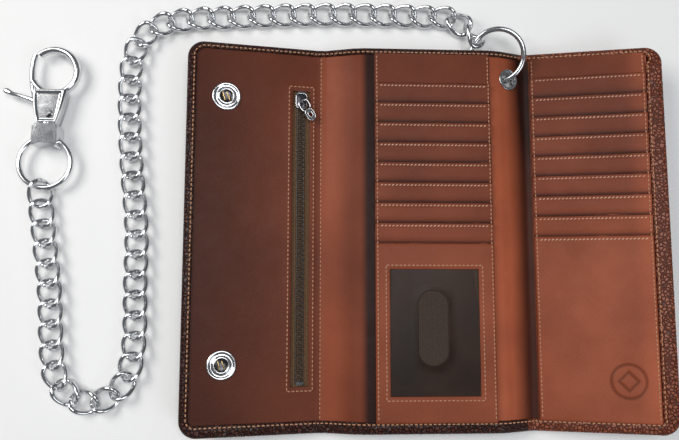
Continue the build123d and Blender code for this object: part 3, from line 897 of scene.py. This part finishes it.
def tube(points, radius, sides=8, closed=False, squeeze=1.0):
    """Rings of points round a path, for Sheet.grid."""
    rows = []
    n = len(points)
    for i in range(n):
        a = Vector(points[(i - 1) % n] if closed or i else points[0])
        b = Vector(points[(i + 1) % n] if closed or i < n - 1 else points[-1])
        along = (b - a).normalized()
        across = Vector((0, 0, 1)).cross(along).normalized()
        up = along.cross(across)
        r = radius[i] if isinstance(radius, (list, tuple)) else radius
        rows.append([tuple(Vector(points[i]) + across * (r * c) + up * (r * squeeze * q))
                     for c, q in circle(sides)])
    return rows + [rows[0]] if closed else rows


def add_tube(s, points, radius, sides=8, closed=False, squeeze=1.0):
    rows = tube(points, radius, sides, closed, squeeze)
    s.grid(rows, close=True, flip=True)
    if not closed:
        s.cap(rows[0])
        s.cap(rows[-1], flip=True)


def lathe(s, cx, cy, profile, n=48):
    """A turned shape on a vertical axis, from radii and heights."""
    s.grid([[(cx + r * c, cy + r * q, z) for c, q in circle(n)] for r, z in profile],
           close=True, flip=True)


# ---- snap sockets ------------------------------------------------------------------------------
SNAP_X, SNAP_Y = -107.0, (69.7, -63.5)
SNAP_FACE = ((7.15, 2.6), (7.25, 2.95), (7.15, 3.30), (6.85, 3.55), (6.45, 3.62), (6.1, 3.50),
             (5.85, 3.25), (5.5, 3.12), (4.75, 3.10), (4.5, 3.25), (4.3, 3.55), (4.0, 3.80),
             (3.65, 3.88), (3.35, 3.78), (3.15, 3.45), (3.1, 3.1))
face, cup, springs = Sheet(), Sheet(), Sheet()
for y in SNAP_Y:
    lathe(face, SNAP_X, y, SNAP_FACE)
    lathe(cup, SNAP_X, y, ((3.15, 3.3), (2.9, 3.08), (1.2, 3.06), (0.02, 3.06)))
    for dx, turn in ((-1.25, 0.5), (0.9, 0.62)):
        wire = [(SNAP_X + dx + math.cos(turn) * t * 0.5 - math.sin(turn) * t * 2.0,
                 y + math.sin(turn) * t * 0.5 + math.cos(turn) * t * 2.0, 3.42 - 0.2 * t * t)
                for t in (-1, -0.5, 0, 0.5, 1)]
        add_tube(springs, wire, 0.36)
obj = make("snap_socket_rings", face.v, face.f, STEEL, "left_wing")
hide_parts("snap_sockets")
make("snap_socket_cups", cup.v, cup.f, GUN, "left_wing")
make("snap_socket_springs", springs.v, springs.f, BRASS, "left_wing")


# ---- zip slider and its puller -----------------------------------------------------------------
PIN_Y, SLIDER_Z = 69.0, 3.25
PULL_Z = SLIDER_Z + 2.55
PULL_TURN = math.radians(33)
TAB = 0.45                        # half the tab's thickness


def on_puller(u, w, z):
    """u across the puller, w along it from the pin."""
    return (TEETH_X + u * math.cos(PULL_TURN) + w * math.sin(PULL_TURN),
            PIN_Y + u * math.sin(PULL_TURN) - w * math.cos(PULL_TURN), z)


def rounded(u0, u1, w0, w1, r, n=7):
    """Outline of a rectangle with round corners."""
    pts = []
    corners = ((u1 - r, w1 - r, 0), (u0 + r, w1 - r, 90), (u0 + r, w0 + r, 180), (u1 - r, w0 + r, 270))
    for cu, cw, a0 in corners:
        for i in range(n + 1):
            a = math.radians(a0 + 90 * i / n)
            pts.append((cu + r * math.cos(a), cw + r * math.sin(a)))
    return pts


def dome(s, outline, z0, z1, lip=0.5):
    """A plate with a softly rounded rim."""
    cu = sum(p[0] for p in outline) / len(outline)
    cw = sum(p[1] for p in outline) / len(outline)
    rows = []
    for k, z in ((1.0, z0), (1.0, z1 - lip), (0.94, z1 - lip * 0.35), (0.84, z1), (0.4, z1 + 0.05),
                 (0.02, z1 + 0.06)):
        rows.append([(cu + (u - cu) * k, cw + (w - cw) * k, z) for u, w in outline])
    s.grid(rows, close=True, flip=True)


slider, rims = Sheet(), Sheet()
outline = [(TEETH_X + u, PIN_Y + 0.5 + w) for u, w in rounded(-2.9, 2.9, -4.0, 4.0, 1.7)]
dome(slider, outline, SLIDER_Z - 0.1, SLIDER_Z + 1.4)
ARCH = ((2.2, 1.2), (2.1, 2.9), (1.5, 3.8), (0.0, 4.0), (-1.5, 3.8), (-2.1, 2.9), (-2.2, 1.2))
add_tube(slider, [(TEETH_X, PIN_Y + w, SLIDER_Z + h) for w, h in ARCH], 0.5, 10)
outline = [(TEETH_X + u, PIN_Y + 0.5 + w, SLIDER_Z + 1.05)
           for u, w in rounded(-2.75, 2.75, -3.85, 3.85, 1.6)]
add_tube(rims, outline, 0.28, 8, closed=True)
make("slider_body", slider.v, slider.f, GUN, "zip_slider")
obj = make("slider_rim", rims.v, rims.f, STEEL, "zip_slider")
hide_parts("zip_slider")

tab, bright = Sheet(), Sheet()
tab_edge = rounded(-2.2, 2.2, 5.2, 11.2, 1.9)
slot_edge = rounded(-1.05, 1.05, 6.7, 9.7, 1.0)


def tab_row(points, h):
    return [on_puller(u, w, PULL_Z + h) for u, w in points]


tab.grid([tab_row(tab_edge, TAB), tab_row(slot_edge, TAB)], close=True)
tab.grid([tab_row(tab_edge, -TAB), tab_row(slot_edge, -TAB)], close=True, flip=True)
tab.grid([tab_row(tab_edge, -TAB), tab_row(tab_edge, TAB)], close=True)
tab.grid([tab_row(slot_edge, TAB), tab_row(slot_edge, -TAB)], close=True)
add_tube(bright, tab_row(slot_edge, 0.38), 0.30, 8, closed=True)
add_tube(bright, tab_row([(u * 0.97, w) for u, w in tab_edge], 0.30), 0.26, 8, closed=True)
add_tube(bright, tab_row(rounded(-2.55, 2.55, 0.0, 5.2, 1.6), 0), 0.5, 10, closed=True)
make("puller_tab", tab.v, tab.f, GUN, "zip_puller")
obj = make("puller_loop", bright.v, bright.f, STEEL, "zip_puller")
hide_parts("zip_puller")


# ---- hook --------------------------------------------------------------------------------------
HX, HZ = -195.2, 4.85             # the hook's own axis
EYE = (-193.2, 83.0)              # middle of the hook's open ring
EYE_R = 11.4
EYE_FROM, EYE_TO = -152, 132      # the ring's ends, in degrees
SHANK_Y = (55.4, 73.4)


def placed(s):
    """The layout's points in metres, without the wallet's bends."""
    return [((x + OX) * MM, (y + OY) * MM, z * MM) for x, y, z in s.v]


def shank_face(sign):
    """A shield with a raised rim round a sunk middle."""
    rows = []
    for y in span(*SHANK_Y, 0.45):
        t = (y - SHANK_Y[0]) / 18.0
        half = 4.6 + 4.0 * t ** 0.8 + 0.35 * math.sin(math.pi * t)
        row = []
        for k in range(-16, 17):
            u = k / 16
            edge = min(1 - abs(u), min(t, 1 - t) * 2.2 + 0.02)
            z = 3.4 * (1 - max(0, 1 - edge / 0.14) ** 2 * 0.45)
            z -= 0.85 * ramp(edge, 0.20, 0.30)
            row.append((HX + half * u + 0.8 * t * t, y, HZ + sign * z))
        rows.append(row)
    return rows


def hook_body():
    s = Sheet()
    path, radii = [], []
    for i in range(57):
        a = math.radians(EYE_FROM + (EYE_TO - EYE_FROM) * i / 56)
        heavy = math.exp(-((math.degrees(a) - 35) / 38) ** 2)
        path.append((EYE[0] + EYE_R * math.cos(a), EYE[1] + EYE_R * math.sin(a), HZ))
        radii.append(1.72 + 0.30 * heavy)
    add_tube(s, path, radii, 18, squeeze=1.28)
    front, back = shank_face(1), shank_face(-1)
    s.grid(front)
    s.grid(back, flip=True)
    for end in (0, -1):
        s.grid([[r[end] for r in front], [r[end] for r in back]], flip=end == -1)
        s.grid([front[end], back[end]], flip=end == 0)
    collar = [(HX + 3.3 * c, HZ + 3.3 * q) for c, q in circle(24)]
    s.grid([[(x, y, z) for x, z in collar] for y in (54.2, 54.5, 55.2, 56.4)], close=True)
    obj = make("hook_casting", placed(s), s.f, STEEL, "hook", flat=False)
    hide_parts("hook_body")
    obj.modifiers.new("edges", "EDGE_SPLIT").split_angle = 0.9


def hook_gate():
    s = Sheet()
    gate = ((-197.6, 60.4), (-199.4, 64.0), (-201.6, 68.5), (-203.2, 73.5), (-204.1, 79.0),
            (-204.3, 84.0), (-203.9, 88.5), (-203.0, 92.0))
    add_tube(s, [(x, y, HZ) for x, y in gate], [1.5, 1.7, 1.7, 1.6, 1.5, 1.45, 1.4, 1.3], 14,
             squeeze=0.95)
    lever = ((-200.6, 66.6), (-204.5, 68.6), (-209.0, 70.0), (-213.5, 71.2), (-216.4, 72.6),
             (-217.6, 73.2))
    add_tube(s, [(x, y, HZ) for x, y in lever], [1.5, 1.25, 1.05, 1.15, 1.75, 1.2], 14,
             squeeze=0.75)
    obj = make("trigger_gate", placed(s), s.f, STEEL, "trigger", flat=False)
    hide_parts("hook_trigger")


hook_body()
hook_gate()

# ---- metal that keeps the frame's own shape ----------------------------------------------------
KEPT = {
    STEEL: ["grommet_ring", "hook_ring", "swivel_base", "trigger_pin", "trigger_spring",
            "chain_grommet", "grommet_washer", "snap_caps", "snap_studs",
            *(f"chain_links_{i}" for i in range(1, 8))],
    BRASS: ["snap_posts"],
    GUN: ["zip_stops"],
    BACKING: ["coin_pocket_bag"],
}
for mat, nodes in KEPT.items():
    for node in nodes:
        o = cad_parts[node]
        o.data.materials.clear()
        o.data.materials.append(mat)
        for poly in o.data.polygons:
            poly.use_smooth = True
        o.modifiers.new("edges", "EDGE_SPLIT").split_angle = 0.6

# ---- floor, light and camera -------------------------------------------------------------------
bpy.ops.mesh.primitive_plane_add(size=6, location=(0, 0, -0.0002))
floor = bpy.context.object
floor.name = "floor"
paper = Look("floor_white", 0.9)
paper.colour((0.96, 0.96, 0.96, 1))
floor.data.materials.append(paper.mat)

world = bpy.data.worlds.new("studio")
bpy.context.scene.world = world
world.use_nodes = True
sky = world.node_tree.nodes["Background"].inputs
sky["Color"].default_value = (0.90, 0.95, 1.0, 1)
sky["Strength"].default_value = 0.16


def area(name, loc, target, size, power, colour=(1, 1, 1)):
    """A rectangular light aimed at a point."""
    light = bpy.data.lights.new(name, "AREA")
    light.shape = "RECTANGLE"
    light.size, light.size_y = size
    light.energy = power
    light.color = colour
    o = bpy.data.objects.new(name, light)
    o.location = loc
    o.rotation_euler = (Vector(target) - Vector(loc)).to_track_quat("-Z", "Y").to_euler()
    bpy.context.scene.collection.objects.link(o)


area("key", (-0.75, 0.35, 0.75), (0.0, 0, 0), (0.7, 0.5), 6.8, (1, 0.98, 0.95))
area("top", (0.15, 0.1, 1.3), (0.05, 0, 0), (0.6, 0.6), 5.8)
area("rim", (0.7, -0.6, 0.8), (0.05, 0, 0), (0.5, 0.5), 2.0, (0.92, 0.96, 1))

cam_data = bpy.data.cameras.new("camera")
cam = bpy.data.objects.new("camera", cam_data)
bpy.context.scene.collection.objects.link(cam)
SENSOR = 36.0
cam_data.sensor_width = SENSOR
cam_data.lens = 640.3 / 679 * SENSOR
cam_data.clip_start = 0.01
turn = Matrix.Rotation(0.001, 3, "Z")
turn = turn @ Matrix.Rotation(-0.049, 3, "Y") @ Matrix.Rotation(0.107, 3, "X")
eye_point = Vector(((-63.65 + OX) * MM, (-26.79 + OY) * MM, 0.32798))
cam.matrix_world = Matrix.Translation(eye_point) @ turn.to_4x4()
bpy.context.scene.camera = cam
bpy.context.scene.view_settings.view_transform = "Standard"
